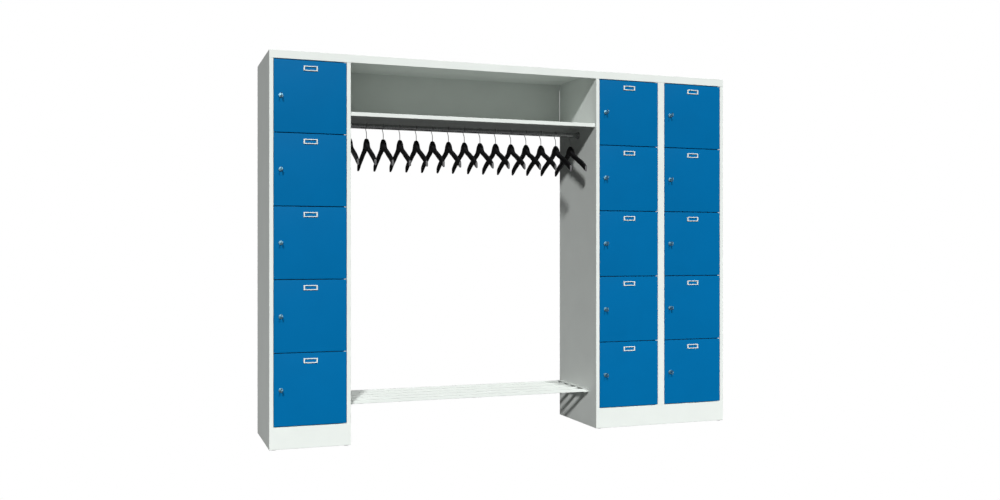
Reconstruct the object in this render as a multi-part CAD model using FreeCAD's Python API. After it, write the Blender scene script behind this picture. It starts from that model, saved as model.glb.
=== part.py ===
import FreeCAD, Part
import math
import os
from FreeCAD import Vector

os.makedirs("parts", exist_ok=True)

# Overall sizes of the steel cloakroom unit, in millimetres
column_width = 400.0
bay_width = 1350.0
unit_depth = 500.0
unit_height = 1950.0
plinth_height = 110.0
header_height = 40.0
foot_height = 2.0

# How many of each there are
left_columns = 1
right_columns = 2
tier_count = 5
hanger_count = 15
rack_tube_count = 5
hat_bolt_count = 4

# Sheet steel, its bends and its fits
sheet = 1.0
bend_radius = 1.5
sheet_fit = 0.2
seat_gap = 0.3
overrun = 5.0

# Folded edges of the carcass
stile_width = 20.0
stop_lip = 8.0
rear_flange = 12.0
foot_fold = 30.0
front_hem = 10.0
cover_rear_fold = 33.0
floor_fold = 18.0
floor_clearance = 0.5

# Holes that fix the towers to a room wall
fixing_radius = 4.5
fixing_drop = 150.0
fixing_inset = 80.0

# Door leaves, with pins and bushes at the right-hand edge
door_gap = 4.0
side_gap = 2.5
door_depth = 18.0
door_rim = 10.0
door_edge_radius = 1.6
pin_radius = 3.0
pin_running_fit = 0.05
pin_grip = 9.0
bush_wall = 1.5
bush_room = 0.45
bush_flange = 0.7
bush_collar = 0.7
bush_length = 10.0
swing_clearance = 0.4
bumper_radius = 2.2
bumper_inset = 40.0

# Hat-section stiffener behind each door
stiffener_width = 50.0
stiffener_flange = 15.0
stiffener_depth = 12.0
stiffener_inset = 16.0
stiffener_top_inset = 70.0

# Label holder on each door
label_width = 69.0
label_height = 24.2
label_post = 6.0
label_bar = 4.0
label_thickness = 5.5
label_drop = 26.2
label_edge_radius = 0.8
card_lap = 2.0
card_slot = 0.8

# Cylinder lock with its key
lock_inset = 35.6
rosette_radius = 11.0
rosette_thickness = 5.0
rosette_edge_radius = 0.8
barrel_radius = 9.0
plug_radius = 6.5
plug_running_fit = 0.05
plug_proud = 0.5
lock_nut_flats = 24.0
lock_nut_thickness = 4.0
cam_width = 14.0
cam_thickness = 2.5
cam_clearance = 1.5
cam_overlap = 8.0
cam_screw_radius = 2.5
cam_screw_length = 8.0
cam_screw_head_radius = 4.5
cam_screw_head = 2.5
key_projection = 40.0
key_thickness = 2.2
key_blade_height = 7.0
key_blade_length = 18.0
key_fit = 0.1
key_neck_height = 10.0
key_bow_radius = 12.0
key_ring_hole_radius = 3.2
key_ring_hole_inset = 3.0

# Hat shelf and the panel behind it
hat_room = 283.0
shelf_thickness = 20.0
shelf_setback = 15.0
shelf_return = 12.0
hat_flange = 15.0
hat_side_gap = 1.7

# Coat rail
rail_radius = 13.4
rail_wall = 1.5
rail_depth = 237.0
rail_clear = 8.6
rail_flange_edge = 1.0
rail_flange_thickness = 3.0
rail_collar_wall = 1.9
rail_collar_length = 14.0
tube_fit = 0.15

# Hanger hook, bent from wire
wire_radius = 1.8
hook_room = 5.8
hook_tip_deg = 190.0
hook_turn_deg = 52.0
stem_seat = 18.0

# Hanger body: an upright neck and slender arms, drawn from the neck to the end of an arm
neck_drop = 64.7
hanger_half_span = 211.0
hanger_fall = 126.3
hanger_height = 55.5
hanger_width = 23.5
hanger_shift = 4.0
arm_corner_share = 0.39
arm_reach_shares = (0.0, 0.05, 0.11, 0.17, 0.25, 0.36, 0.52, 0.78, 0.94, 1.0)
arm_fall_shares = (0.0, 0.05, 0.139, 0.3, 0.398, 0.462, 0.572, 0.762, 0.933, 1.0)
arm_height_shares = (1.0, 0.91, 0.673, 0.475, 0.425, 0.465, 0.54, 0.58, 0.55, 0.543)
arm_width_shares = (1.0, 1.0, 1.0, 0.955, 0.885, 0.785, 0.725, 0.67, 0.635, 0.48)

# Shoe rack: square tubes between channels that are open towards the bay
rack_height = 199.3
rack_front = 100.0
rack_tube_size = 16.0
rack_tube_wall = 1.2
rack_tube_corner = 1.8
rack_tube_pitch = 92.0
channel_width = 30.0
channel_fit = 0.3
channel_margin = 4.0

# Levelling feet
foot_inset = 22.0
foot_radius = 12.0
foot_top_radius = 10.0
stud_radius = 4.0
stud_end = 3.0
foot_nut_flats = 13.0
foot_nut_height = 6.5

# Bolts that tie the bay to the towers
bolt_radius = 2.0
bolt_head_radius = 3.2
bolt_head_height = 2.2
bolt_nut_flats = 7.0
bolt_nut_height = 3.2
bolt_end = 2.0
rail_bolt_margin = 0.3
shelf_bolt_inset = 90.0

# Places of the whole unit: the width is centred, and so is the depth with the keys in
half_sheet = sheet / 2
unit_width = (left_columns + right_columns) * column_width + bay_width
left_x = -unit_width / 2
bay_left = left_x + left_columns * column_width
bay_right = bay_left + bay_width
front_y = -(unit_depth - key_projection) / 2
rear_y = front_y + unit_depth
wall_rear_y = rear_y - sheet
base_z = foot_height
zone_top = unit_height - header_height
cover_under = unit_height - sheet

# Door opening and hinge line, measured from the opening's left edge and the front
opening_width = column_width - 2 * stile_width
bush_radius = pin_radius + pin_running_fit + bush_wall
pivot_depth = sheet + bush_radius + bush_room
pivot_inset = (side_gap ** 2 + pivot_depth ** 2 - swing_clearance ** 2) / (2 * (side_gap - swing_clearance))
pivot_x = opening_width - pivot_inset
stop_depth = pivot_depth + math.hypot(pivot_inset - side_gap, door_depth - pivot_depth) + 2 * swing_clearance
door_pitch = (zone_top - plinth_height - door_gap) / tier_count
door_height = door_pitch - door_gap
door_low = door_gap
door_high = door_low + door_height
door_left = side_gap
door_right = opening_width - side_gap
tab_thickness = door_gap - 2 * (bush_flange + seat_gap)
tab_low = (door_gap - tab_thickness) / 2

# Lock and key places
lock_z = (door_low + door_high) / 2
plug_front = -rosette_thickness - plug_proud
cam_front = stop_depth + sheet + cam_clearance
cam_reach = lock_inset - stop_lip + cam_overlap
barrel_end = cam_front - seat_gap
bow_y = key_bow_radius - key_projection

# Bay places
shelf_height = unit_height - hat_room
shelf_low = shelf_height - shelf_thickness
shelf_front_y = front_y + shelf_setback
rail_y = front_y + rail_depth
rail_z = shelf_low - rail_clear - rail_radius
rail_collar_radius = rail_radius + tube_fit + rail_collar_wall
rail_bolt_radius = rail_collar_radius + bolt_head_radius + rail_bolt_margin
rail_flange_radius = rail_bolt_radius + bolt_radius + rail_flange_edge
hook_radius = rail_radius + wire_radius + hook_room
hook_z = -(hook_room - seat_gap)
hanger_pitch = bay_width / hanger_count
rack_tube_half = rack_tube_size / 2
rack_tube_end = half_sheet + bend_radius + sheet_fit
channel_high = rack_height + rack_tube_half + channel_fit + sheet
channel_low = rack_height - rack_tube_half - sheet
channel_front_y = front_y + rack_front - rack_tube_half - channel_margin
rack_depth = (rack_tube_count - 1) * rack_tube_pitch + rack_tube_size + 2 * channel_margin

along_x = Vector(1, 0, 0)
along_y = Vector(0, 1, 0)
along_z = Vector(0, 0, 1)


# Shapes that several pieces share

def box(x0, y0, z0, x1, y1, z1):
    """Block between two opposite corners."""
    return Part.makeBox(x1 - x0, y1 - y0, z1 - z0, Vector(x0, y0, z0))


def rod(radius, start, direction, length):
    """Round bar from a start point along a direction."""
    return Part.makeCylinder(radius, length, start, direction)


def tube(radius, wall, start, direction, length):
    """Round tube with open ends."""
    return rod(radius, start, direction, length).cut(rod(radius - wall, start, direction, length))


def hexagon(flats, bore, start, direction, height):
    """Plain hexagon nut with a round bore, standing at start."""
    corner = flats / math.sqrt(3)
    side = along_z if direction.cross(along_z).Length > 0 else along_x
    points = []
    for step in range(7):
        turn = FreeCAD.Rotation(direction, step * 60)
        points.append(start + turn.multVec(side * corner))
    prism = Part.Face(Part.makePolygon(points)).extrude(direction * height)
    return prism.cut(rod(bore, start, direction, height))


def run_edges(points, normal, offset):
    """Edges of one surface of a folded sheet, at a sideways offset from its middle line."""
    heads = [(points[i + 1] - points[i]).normalize() for i in range(len(points) - 1)]
    sides = [normal.cross(head) for head in heads]
    edges = []
    last = points[0] + sides[0] * offset
    for i in range(1, len(points) - 1):
        turn = 1 if heads[i - 1].cross(heads[i]).dot(normal) > 0 else -1
        start = points[i] - heads[i - 1] * bend_radius
        end = points[i] + heads[i] * bend_radius
        centre = start + sides[i - 1] * (turn * bend_radius)
        middle = ((start - centre) + (end - centre)).normalize()
        radius = bend_radius - turn * offset
        arc_start = start + sides[i - 1] * offset
        arc_end = end + sides[i] * offset
        edges.append(Part.makeLine(last, arc_start))
        edges.append(Part.Arc(arc_start, centre + middle * radius, arc_end).toShape())
        last = arc_end
    edges.append(Part.makeLine(last, points[-1] + sides[-1] * offset))
    return edges


def folded_sheet(points, draw):
    """Sheet with square folds along the middle line through points, drawn out along draw."""
    normal = Vector(draw).normalize()
    near = run_edges(points, normal, half_sheet)
    far = run_edges(points, normal, -half_sheet)
    caps = []
    for corner in (0, -1):
        caps.append(Part.makeLine(near[corner].Vertexes[corner].Point, far[corner].Vertexes[corner].Point))
    outline = Part.Wire(Part.__sortEdges__(near + far + caps))
    return Part.Face(outline).extrude(draw)


def drilled(shape, holes):
    """Shape with every hole cut through it."""
    for hole in holes:
        shape = shape.cut(hole)
    return shape


# Carcass pieces

def tower_walls_x(start_x, columns):
    """Outer faces of a tower's two side walls and the middles of its partitions."""
    end_x = start_x + columns * column_width
    partitions = [start_x + step * column_width for step in range(1, columns)]
    return end_x, partitions


def wall_slots(start_x, columns, y0, y1, z0, z1):
    """Room for a tower's walls to pass through a fold."""
    end_x, partitions = tower_walls_x(start_x, columns)
    slots = [
        box(start_x - sheet_fit, y0, z0, start_x + sheet + sheet_fit, y1, z1),
        box(end_x - sheet - sheet_fit, y0, z0, end_x + sheet_fit, y1, z1),
    ]
    for middle in partitions:
        slots.append(box(middle - half_sheet - sheet_fit, y0, z0, middle + half_sheet + sheet_fit, y1, z1))
    return slots


def side_wall(face_x, inward):
    """Side wall with its stile, door stop and rear flange; inward is 1 or -1 along X."""
    middle = face_x + inward * half_sheet
    flange_end = face_x + inward * rear_flange
    rear = wall_rear_y - half_sheet
    front = front_y + half_sheet
    stile = face_x + inward * (stile_width - half_sheet)
    stop = front_y + stop_depth + half_sheet
    lip_end = face_x + inward * (stile_width + stop_lip)
    corners = [(flange_end, rear), (middle, rear), (middle, front)]
    corners += [(stile, front), (stile, stop), (lip_end, stop)]
    points = [Vector(x, y, plinth_height) for x, y in corners]
    wall = folded_sheet(points, along_z * (zone_top - plinth_height))
    lower_ends = [(middle, wall_rear_y), (middle, front_y + sheet)]
    upper_ends = [(flange_end, rear), (middle, rear), (middle, front_y + sheet)]
    for ends, low, high in ((lower_ends, base_z, plinth_height), (upper_ends, zone_top, cover_under)):
        points = [Vector(x, y, low) for x, y in ends]
        wall = wall.fuse(folded_sheet(points, along_z * (high - low)))
    return wall.removeSplitter().cut(cover_relief(face_x))


def cover_relief(x):
    """Room at a wall's top rear corner for the bend of the cover."""
    reach = rear_flange + overrun
    low = cover_under - bend_radius
    return box(x - reach, wall_rear_y - bend_radius, low, x + reach, rear_y, unit_height)


def partition(middle_x):
    """Flat partition between two columns and the wide post that covers its front edge."""
    low_x = middle_x - half_sheet
    panel = box(low_x, front_y + sheet, base_z, low_x + sheet, wall_rear_y, cover_under)
    panel = panel.cut(cover_relief(middle_x))
    post_half = stile_width - half_sheet
    lip_half = stile_width + stop_lip
    front = front_y + half_sheet
    stop = front_y + stop_depth + half_sheet
    corners = [(-lip_half, stop), (-post_half, stop), (-post_half, front)]
    corners += [(post_half, front), (post_half, stop), (lip_half, stop)]
    points = [Vector(middle_x + x, y, plinth_height) for x, y in corners]
    return [panel, folded_sheet(points, along_z * (zone_top - plinth_height))]


def tower_walls(start_x, columns, bay_side):
    """Side walls and partitions of one tower; bay_side is the side with the bay's bolt holes."""
    end_x, partitions = tower_walls_x(start_x, columns)
    walls = [side_wall(start_x, 1), side_wall(end_x, -1)]
    drilled_wall = 1 if bay_side < 0 else 0
    walls[drilled_wall] = drilled(walls[drilled_wall], bolt_holes(bay_side))
    for middle in partitions:
        walls += partition(middle)
    return walls


def plinth(start_x, columns):
    """Plinth front with a sill fold above and a fold for the feet below."""
    front = front_y + half_sheet
    sill_end = front_y + stop_depth - half_sheet
    sill = plinth_height - half_sheet
    floor_fold_z = base_z + half_sheet
    corners = [(front_y + foot_fold, floor_fold_z), (front, floor_fold_z), (front, sill)]
    corners += [(sill_end, sill), (sill_end, sill - front_hem)]
    points = [Vector(start_x, y, z) for y, z in corners]
    shape = folded_sheet(points, along_x * (columns * column_width))
    slots = wall_slots(start_x, columns, front_y + sheet, front_y + foot_fold + overrun,
                       base_z - overrun, plinth_height + overrun)
    studs = [foot_stud_hole(x, y) for x, y in foot_places(start_x, columns) if y < 0]
    return drilled(shape, slots + studs)


def tower_back(start_x, columns):
    """Back panel with a fold for the rear feet and two holes for wall fixings."""
    middle = rear_y - half_sheet
    fold_z = base_z + half_sheet
    fold_end = rear_y - foot_fold
    top = unit_height - cover_rear_fold
    points = [Vector(start_x, y, z) for y, z in ((fold_end, fold_z), (middle, fold_z), (middle, top))]
    shape = folded_sheet(points, along_x * (columns * column_width))
    slots = wall_slots(start_x, columns, fold_end - overrun, rear_y - sheet,
                       base_z - overrun, base_z + sheet + bend_radius)
    studs = [foot_stud_hole(x, y) for x, y in foot_places(start_x, columns) if y > 0]
    end_x, _ = tower_walls_x(start_x, columns)
    fixings = []
    for x in (start_x + fixing_inset, end_x - fixing_inset):
        start = Vector(x, rear_y - overrun, unit_height - fixing_drop)
        fixings.append(rod(fixing_radius, start, along_y, 2 * overrun))
    return drilled(shape, slots + studs + fixings)


def hat_back():
    """Panel behind the hat compartment, with a fold on the shelf and a slit of air at each end."""
    rear = rear_y - half_sheet
    fold_z = shelf_height + half_sheet
    top = unit_height - cover_rear_fold
    corners = [(rear_y - hat_flange, fold_z), (rear, fold_z), (rear, top)]
    points = [Vector(bay_left + hat_side_gap, y, z) for y, z in corners]
    shape = folded_sheet(points, along_x * (bay_width - 2 * hat_side_gap))
    return drilled(shape, hat_bolt_holes())


def top_cover():
    """One cover over both towers and the bay, folded down at the front and at the rear."""
    front = front_y + half_sheet
    rear = rear_y - half_sheet
    top = unit_height - half_sheet
    low = zone_top + half_sheet
    hem_y = front_y + stop_depth - half_sheet
    corners = [(rear, unit_height - cover_rear_fold), (rear, top), (front, top), (front, low)]
    corners += [(hem_y, low), (hem_y, low + front_hem)]
    points = [Vector(left_x, y, z) for y, z in corners]
    shape = folded_sheet(points, along_x * unit_width)
    reach = (front_y + sheet, front_y + stop_depth + overrun, zone_top - overrun, cover_under)
    slots = wall_slots(left_x, left_columns, *reach) + wall_slots(bay_right, right_columns, *reach)
    return drilled(shape, slots)


def compartment_floor(column_x, low_z):
    """Floor of one compartment, folded down at the front and at the rear."""
    front = front_y + stop_depth + sheet + floor_clearance + half_sheet
    rear = wall_rear_y - sheet - bend_radius - half_sheet
    plate = low_z + door_gap / 2
    corners = [(front, plate - floor_fold), (front, plate), (rear, plate), (rear, plate - floor_fold)]
    points = [Vector(column_x + sheet + sheet_fit, y, z) for y, z in corners]
    return folded_sheet(points, along_x * (column_width - 2 * (sheet + sheet_fit)))


# Pieces of the open bay

def hat_shelf():
    """Shelf folded down all round, with a return below its front edge."""
    front = shelf_front_y + half_sheet
    rear = rear_y - half_sheet
    top = shelf_height - half_sheet
    low = shelf_low + half_sheet
    corners = [(shelf_front_y + shelf_return, low), (front, low), (front, top)]
    corners += [(rear, top), (rear, shelf_low)]
    points = [Vector(bay_left, y, z) for y, z in corners]
    shelf = folded_sheet(points, along_x * bay_width)
    for x in (bay_left, bay_right - sheet):
        end = box(x, shelf_front_y + shelf_return, shelf_low,
                  x + sheet, rear_y - sheet, shelf_height - half_sheet)
        shelf = shelf.fuse(end)
    return drilled(shelf.removeSplitter(), bolt_holes(-1) + bolt_holes(1) + hat_bolt_holes())


def coat_rail():
    """Round rail from tower to tower."""
    start = Vector(bay_left + sheet_fit, rail_y, rail_z)
    return tube(rail_radius, rail_wall, start, along_x, bay_width - 2 * sheet_fit)


def rail_flange(face_x, inward):
    """Cup on a tower wall that carries one end of the rail."""
    start = Vector(face_x, rail_y, rail_z)
    away = along_x * inward
    cup = rod(rail_flange_radius, start, away, rail_flange_thickness)
    cup = cup.fuse(rod(rail_collar_radius, start, away, rail_collar_length))
    cup = cup.cut(rod(rail_radius + tube_fit, start, away, rail_collar_length))
    return drilled(cup, bolt_holes(-inward))


def rack_tube_places():
    """Distance of each rack tube along Y."""
    return [front_y + rack_front + step * rack_tube_pitch for step in range(rack_tube_count)]


def rack_tube(y):
    """One square tube of the shoe rack, held at both ends between the folds of the channels."""
    left = bay_left + rack_tube_end
    right = bay_right - rack_tube_end
    half = rack_tube_half
    bar = box(left, y - half, rack_height - half, right, y + half, rack_height + half)
    long_edges = [edge for edge in bar.Edges if edge.BoundBox.XLength > rack_tube_size]
    inner = half - rack_tube_wall
    hollow = box(left, y - inner, rack_height - inner, right, y + inner, rack_height + inner)
    return bar.makeFillet(rack_tube_corner, long_edges).cut(hollow)


def rack_channel(face_x, inward):
    """Channel on a tower wall, open towards the bay, with the rack tubes between its folds."""
    web = face_x + inward * half_sheet
    fold_end = face_x + inward * channel_width
    low = channel_low + half_sheet
    high = channel_high - half_sheet
    corners = [(fold_end, low), (web, low), (web, high), (fold_end, high)]
    points = [Vector(x, channel_front_y, z) for x, z in corners]
    shape = folded_sheet(points, along_y * rack_depth)
    return drilled(shape, bolt_holes(-inward))


# Feet and fasteners

def foot_places(start_x, columns):
    """Places of a tower's four feet."""
    end_x, _ = tower_walls_x(start_x, columns)
    places = []
    for y in (front_y + foot_fold / 2, rear_y - foot_fold / 2):
        for x in (start_x + foot_inset, end_x - foot_inset):
            places.append((x, y))
    return places


def foot_stud_hole(x, y):
    """Hole for a foot's stud through a fold."""
    return rod(stud_radius, Vector(x, y, base_z - overrun), along_z, sheet + 2 * overrun)


def levelling_foot(x, y):
    """Foot with a threaded stud."""
    pad = Part.makeCone(foot_radius, foot_top_radius, foot_height, Vector(x, y, 0), along_z)
    stud = rod(stud_radius, Vector(x, y, base_z), along_z, sheet + foot_nut_height + stud_end)
    return pad.fuse(stud)


def foot_nut(x, y):
    """Nut that holds a foot's stud to its fold."""
    return hexagon(foot_nut_flats, stud_radius, Vector(x, y, base_z + sheet), along_z, foot_nut_height)


def bolt_places():
    """Depth, height and clamped thickness of the bolts at one side of the bay."""
    places = []
    for y in (shelf_front_y + shelf_bolt_inset, rear_y - shelf_bolt_inset):
        places.append((y, shelf_height - shelf_thickness / 2, sheet))
    for side in (-1, 1):
        places.append((rail_y + side * rail_bolt_radius, rail_z, rail_flange_thickness))
    tubes = rack_tube_places()
    for y in ((tubes[0] + tubes[1]) / 2, (tubes[-2] + tubes[-1]) / 2):
        places.append((y, rack_height, sheet))
    return places


def bay_face(side):
    """Face of the tower wall at one side of the bay; side is -1 at the left and 1 at the right."""
    return bay_left if side < 0 else bay_right


def bolt_holes(side):
    """Holes for the bolts at one side of the bay."""
    holes = []
    for y, z, grip in bolt_places():
        start = Vector(bay_face(side) - side * (grip + overrun), y, z)
        holes.append(rod(bolt_radius, start, along_x * side, grip + sheet + 2 * overrun))
    return holes


def hat_bolt_seats():
    """Seats of the bolts that hold the hat compartment's panel down on the shelf."""
    pitch = bay_width / hat_bolt_count
    y = rear_y - (hat_flange + sheet) / 2
    z = shelf_height + sheet
    return [Vector(bay_left + (step + 1 / 2) * pitch, y, z) for step in range(hat_bolt_count)]


def hat_bolt_holes():
    """Holes for the bolts through the panel's fold and the shelf."""
    length = 2 * (sheet + overrun)
    return [rod(bolt_radius, seat + along_z * overrun, -along_z, length) for seat in hat_bolt_seats()]


def bolt_and_nut(seat, into, grip):
    """Round-headed bolt through a piece of the bay and the sheet behind it, with its nut."""
    nut_seat = seat + into * (grip + sheet)
    shank = rod(bolt_radius, seat, into, grip + sheet + bolt_nut_height + bolt_end)
    head = Part.makeCone(bolt_head_radius, bolt_radius, bolt_head_height, seat, -into)
    return [head.fuse(shank), hexagon(bolt_nut_flats, bolt_radius, nut_seat, into, bolt_nut_height)]


# Hinges, in the frame of one door opening

def hinge_tab():
    """Tab in the gap between two doors, standing out of the stile, with a hole for the pin."""
    centre = Vector(pivot_x, pivot_depth, tab_low)
    eye = rod(bush_radius, centre, along_z, tab_thickness)
    arm = box(pivot_x, pivot_depth - bush_radius, tab_low,
              opening_width, pivot_depth + bush_radius, tab_low + tab_thickness)
    return eye.fuse(arm).removeSplitter().cut(rod(pin_radius, centre, along_z, tab_thickness))


def hinge_pin(gap):
    """Pin in a tab; the lowest has no door below it and the highest none above."""
    low = tab_low if gap == 0 else -pin_grip
    high = tab_low + tab_thickness if gap == tier_count else door_gap + pin_grip
    return rod(pin_radius, Vector(pivot_x, pivot_depth, low), along_z, high - low)


# Door pieces, in the frame of one door opening

def door_leaf():
    """Folded door pan with a turned-in rim and bores for its lock and bushes."""
    leaf = box(door_left, 0, door_low, door_right, door_depth, door_high)
    front = [edge for edge in leaf.Edges if edge.BoundBox.YMax < half_sheet]
    leaf = leaf.makeFillet(door_edge_radius, front)
    leaf = leaf.cut(box(door_left + sheet, sheet, door_low + sheet,
                        door_right - sheet, door_depth - sheet, door_high - sheet))
    leaf = leaf.cut(box(door_left + door_rim, door_depth - sheet, door_low + door_rim,
                        door_right - door_rim, door_depth + overrun, door_high - door_rim))
    bush_bore = rod(bush_radius, Vector(pivot_x, pivot_depth, 0), along_z, door_pitch + door_gap)
    lock_bore = rod(barrel_radius, Vector(lock_inset, -overrun, lock_z), along_y, sheet + 2 * overrun)
    return drilled(leaf, [bush_bore, lock_bore])


def door_stiffener():
    """Hat section behind the middle of the leaf."""
    middle = opening_width / 2
    half = stiffener_width / 2
    flat = sheet + half_sheet
    crown = flat + stiffener_depth
    edge = half + stiffener_flange
    corners = [(-edge, flat), (-half, flat), (-half, crown), (half, crown), (half, flat), (edge, flat)]
    low = door_low + stiffener_inset
    points = [Vector(middle + x, y, low) for x, y in corners]
    return folded_sheet(points, along_z * (door_height - stiffener_inset - stiffener_top_inset))


def door_bush(seat_z, into):
    """Flanged bush in a door edge; into is 1 at the lower edge and -1 at the upper."""
    seat = Vector(pivot_x, pivot_depth, seat_z)
    inward = along_z * into
    collar = rod(bush_radius + bush_collar, seat, -inward, bush_flange)
    barrel = rod(bush_radius, seat, inward, bush_length)
    bore = rod(pin_radius + pin_running_fit, seat - inward * bush_flange, inward, bush_flange + bush_length)
    return collar.fuse(barrel).cut(bore)


def label_holder():
    """Frame round a window, with a slot for a card that is open at its right-hand end."""
    left = (opening_width - label_width) / 2
    right = left + label_width
    high = door_high - label_drop
    low = high - label_height
    frame = box(left, -label_thickness, low, right, 0, high)
    front = [edge for edge in frame.Edges if edge.BoundBox.YMax < -label_thickness / 2]
    frame = frame.makeFillet(label_edge_radius, front)
    window = box(left + label_post, -label_thickness - overrun, low + label_bar,
                 right - label_post, overrun, high - label_bar)
    slot = box(left + label_post - card_lap, -card_slot, low + label_bar - card_lap,
               right + overrun, overrun, high - label_bar + card_lap)
    return drilled(frame, [window, slot])


def lock_housing():
    """Rosette and barrel of the lock, bored for the plug."""
    face = Vector(lock_inset, -rosette_thickness, lock_z)
    rosette = rod(rosette_radius, face, along_y, rosette_thickness)
    rim = [edge for edge in rosette.Edges if edge.BoundBox.YMax < -rosette_thickness / 2]
    rosette = rosette.makeFillet(rosette_edge_radius, rim)
    barrel = rod(barrel_radius, face, along_y, rosette_thickness + barrel_end)
    bore = rod(plug_radius + plug_running_fit, face, along_y, rosette_thickness + barrel_end)
    return rosette.fuse(barrel).cut(bore)


def door_bumpers():
    """Soft dots on the rim that meet the door stop."""
    thickness = stop_depth - door_depth - seat_gap
    x = (door_left + stop_lip) / 2
    heights = (door_low + bumper_inset, door_high - bumper_inset)
    return [rod(bumper_radius, Vector(x, door_depth, z), along_y, thickness) for z in heights]


def door_pieces():
    """All solids that swing with one door."""
    nut_seat = Vector(lock_inset, sheet, lock_z)
    lock_nut = hexagon(lock_nut_flats, barrel_radius, nut_seat, along_y, lock_nut_thickness)
    bushes = [door_bush(door_low, 1), door_bush(door_high, -1)]
    pieces = [door_leaf(), door_stiffener(), label_holder(), lock_housing(), lock_nut]
    return pieces + bushes + door_bumpers()


# Turning pieces of the lock, in the frame of one door opening

def lock_plug():
    """Plug with a keyway in front and a tapped hole behind."""
    start = Vector(lock_inset, plug_front, lock_z)
    plug = rod(plug_radius, start, along_y, cam_front - plug_front)
    half_width = key_thickness / 2 + key_fit
    half_height = key_blade_height / 2 + key_fit
    keyway = box(lock_inset - half_width, plug_front - overrun, lock_z - half_height,
                 lock_inset + half_width, plug_front + key_blade_length + key_fit, lock_z + half_height)
    tapped_start = Vector(lock_inset, cam_front - cam_screw_length, lock_z)
    tapped = rod(cam_screw_radius, tapped_start, along_y, cam_screw_length)
    return drilled(plug, [keyway, tapped])


def lock_key():
    """Flat key in the keyway, its round bow upright."""
    left = lock_inset - key_thickness / 2
    right = lock_inset + key_thickness / 2
    neck_y = plug_front - key_fit
    blade = box(left, neck_y, lock_z - key_blade_height / 2,
                right, plug_front + key_blade_length, lock_z + key_blade_height / 2)
    neck = box(left, bow_y, lock_z - key_neck_height / 2, right, neck_y, lock_z + key_neck_height / 2)
    bow = rod(key_bow_radius, Vector(left, bow_y, lock_z), along_x, key_thickness)
    hole_y = bow_y - key_bow_radius + key_ring_hole_inset + key_ring_hole_radius
    ring_hole = rod(key_ring_hole_radius, Vector(left, hole_y, lock_z), along_x, key_thickness)
    return blade.fuse(neck).fuse(bow).removeSplitter().cut(ring_hole)


def lock_cam():
    """Cam that hangs down when unlocked and turns behind the stile to lock."""
    centre = Vector(lock_inset, cam_front, lock_z)
    half = cam_width / 2
    tip_z = lock_z - cam_reach
    eye = rod(half, centre, along_y, cam_thickness)
    arm = box(lock_inset - half, cam_front, tip_z, lock_inset + half, cam_front + cam_thickness, lock_z)
    return eye.fuse(arm).removeSplitter().cut(rod(cam_screw_radius, centre, along_y, cam_thickness))


def cam_screw():
    """Screw that holds the cam on the plug."""
    seat = Vector(lock_inset, cam_front + cam_thickness, lock_z)
    shank_start = Vector(lock_inset, cam_front - cam_screw_length, lock_z)
    shank = rod(cam_screw_radius, shank_start, along_y, cam_screw_length + cam_thickness)
    return shank.fuse(rod(cam_screw_head_radius, seat, along_y, cam_screw_head))


def lock_pieces():
    """All solids that turn with one key."""
    return [lock_plug(), lock_key(), lock_cam(), cam_screw()]


# Hanger pieces, in a frame at the middle of the rail

def on_circle(radius, degrees, centre_y, centre_z):
    """Point on a circle about X, at an angle from the rear upwards."""
    angle = math.radians(degrees)
    return Vector(0, centre_y + radius * math.cos(angle), centre_z + radius * math.sin(angle))


def hook_wire():
    """Wire hook over the rail: a large bend, a smaller return bend and a straight stem."""
    turn_cos = math.cos(math.radians(hook_turn_deg))
    return_radius = hook_radius * turn_cos / (1 - turn_cos)
    bend_end = on_circle(hook_radius, -hook_turn_deg, 0, hook_z)
    return_z = bend_end.z - return_radius * math.sin(math.radians(hook_turn_deg))
    stem_top = Vector(0, 0, return_z)
    stem_end = Vector(0, 0, -neck_drop - stem_seat)
    tip = on_circle(hook_radius, hook_tip_deg, 0, hook_z)
    over = on_circle(hook_radius, hook_tip_deg / 2, 0, hook_z)
    rear = on_circle(hook_radius, 0, 0, hook_z)
    rear_mid = on_circle(hook_radius, -hook_turn_deg / 2, 0, hook_z)
    return_mid = on_circle(return_radius, 180 - hook_turn_deg / 2, return_radius, return_z)
    path = Part.Wire([
        Part.Arc(tip, over, rear).toShape(),
        Part.Arc(rear, rear_mid, bend_end).toShape(),
        Part.Arc(bend_end, return_mid, stem_top).toShape(),
        Part.makeLine(stem_top, stem_end),
    ])
    heading = on_circle(1, hook_tip_deg - 90, 0, 0)
    ring = Part.Wire(Part.makeCircle(wire_radius, tip, heading))
    return path.makePipeShell([ring], True, False)


def arm_section(y, low, high, width):
    """Closed outline across an arm, a rectangle with rounded corners."""
    half = width / 2
    radius = arm_corner_share * min(width, high - low)
    edges = []
    last = None
    first = None
    for side_x, side_z, start_deg in ((1, 1, 0), (-1, 1, 90), (-1, -1, 180), (1, -1, 270)):
        centre_x = side_x * (half - radius)
        centre_z = high - radius if side_z > 0 else low + radius
        bend = []
        for degrees in (start_deg, start_deg + 45, start_deg + 90):
            angle = math.radians(degrees)
            bend.append(Vector(centre_x + radius * math.cos(angle), y, centre_z + radius * math.sin(angle)))
        if last is None:
            first = bend[0]
        else:
            edges.append(Part.makeLine(last, bend[0]))
        edges.append(Part.Arc(*bend).toShape())
        last = bend[2]
    edges.append(Part.makeLine(last, first))
    return Part.Wire(edges)


def hanger_body():
    """Upright neck and two slender sloping arms in one moulding, cut flat at their ends."""
    rows = list(zip(arm_reach_shares, arm_fall_shares, arm_height_shares, arm_width_shares))
    front_rows = [(-reach, fall, height, width) for reach, fall, height, width in reversed(rows[1:])]
    sections = []
    for reach, fall, height, width in front_rows + rows:
        high = -neck_drop - fall * hanger_fall
        low = high - height * hanger_height
        sections.append(arm_section(reach * hanger_half_span, low, high, width * hanger_width))
    return Part.makeLoft(sections, True, True)


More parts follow.
